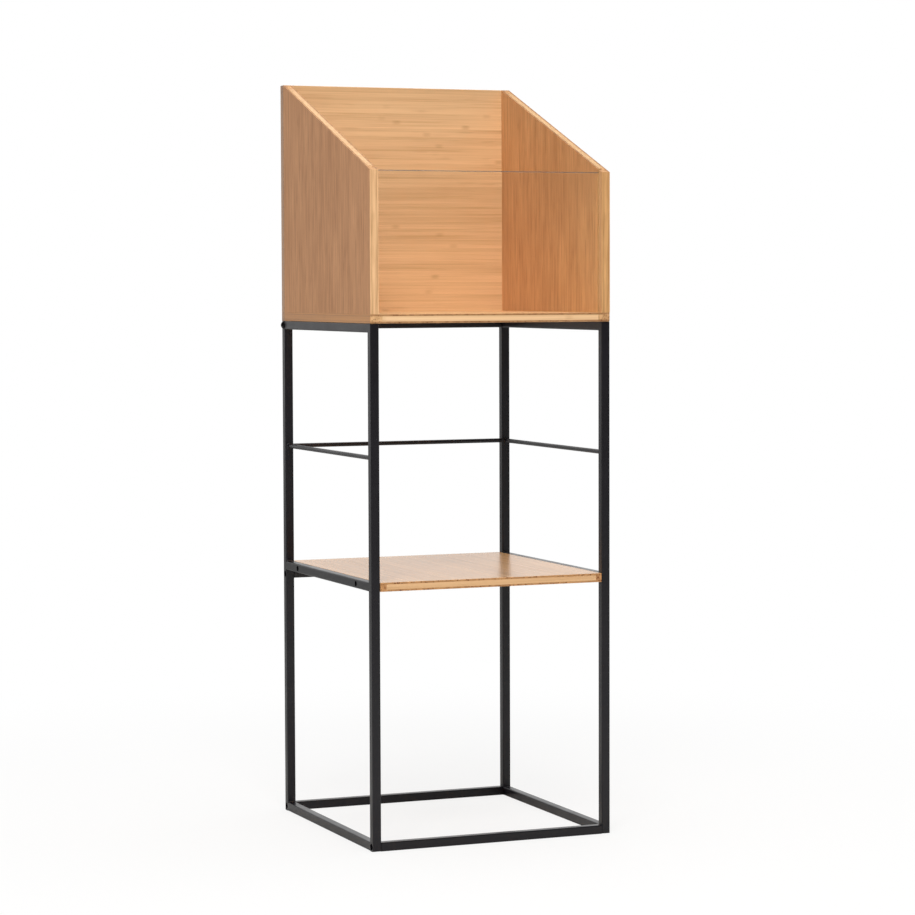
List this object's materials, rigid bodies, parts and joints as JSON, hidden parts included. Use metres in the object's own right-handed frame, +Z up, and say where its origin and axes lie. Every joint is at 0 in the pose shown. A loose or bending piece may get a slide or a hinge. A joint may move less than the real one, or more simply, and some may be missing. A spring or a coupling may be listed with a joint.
{
  "type": "record storage stand",
  "caption": "Tall square-tube steel stand with an open record box on top, a clear lift-out front panel, a wooden shelf at mid-height and stop rods above it.",
  "frame": {"origin": "on the floor, at the middle of the frame's footprint", "axes": "+Z up; -Y is the front, where the clear panel is; +X is the right side seen from the front"},
  "size_m": [0.352, 0.353, 1.029],
  "materials": {
    "frame_coat": "satin black powder coat on steel tube",
    "black_bolts": "black oxide steel",
    "phosphated_steel": "black phosphate on steel",
    "zinc_steel": "zinc-plated steel",
    "bamboo_board": "sanded bamboo plywood with a clear satin lacquer",
    "bamboo_side": "sanded bamboo plywood with a clear satin lacquer, grain upright",
    "clear_acrylic": "clear polished acrylic sheet"
  },
  "bodies": {
    "stand": {"post_front_left": "frame_coat", "post_front_right": "frame_coat", "post_back_left": "frame_coat", "post_back_right": "frame_coat", "top_rail_left": "frame_coat", "top_rail_right": "frame_coat", "shelf_rail_left": "frame_coat", "shelf_rail_right": "frame_coat", "bottom_rail_left": "frame_coat", "bottom_rail_right": "frame_coat", "stop_rod_left": "frame_coat", "stop_rod_right": "frame_coat", "stop_rod_back": "frame_coat", "cross_rail_top_back": "frame_coat", "cross_rail_shelf_back": "frame_coat", "cross_rail_bottom_back": "frame_coat", "cross_rail_bottom_front": "frame_coat", "rail_end_plugs": "zinc_steel", "top_cross_bolts": "black_bolts", "lower_cross_bolts": "black_bolts", "shelf_board": "bamboo_board", "shelf_screws": "phosphated_steel", "box_floor": "bamboo_board", "box_side_left": "bamboo_side", "box_side_right": "bamboo_side", "box_back": "bamboo_board", "box_to_frame_screws": "phosphated_steel", "box_floor_screws": "phosphated_steel", "box_back_screws": "phosphated_steel"},
    "front_panel": {"clear_front_panel": "clear_acrylic"}
  },
  "joints": [
    {"name": "front_panel_lift", "type": "slide", "parent": "stand", "child": "front_panel", "axis": [0, 0, 1], "range_m": [0, 0.18]}
  ]
}
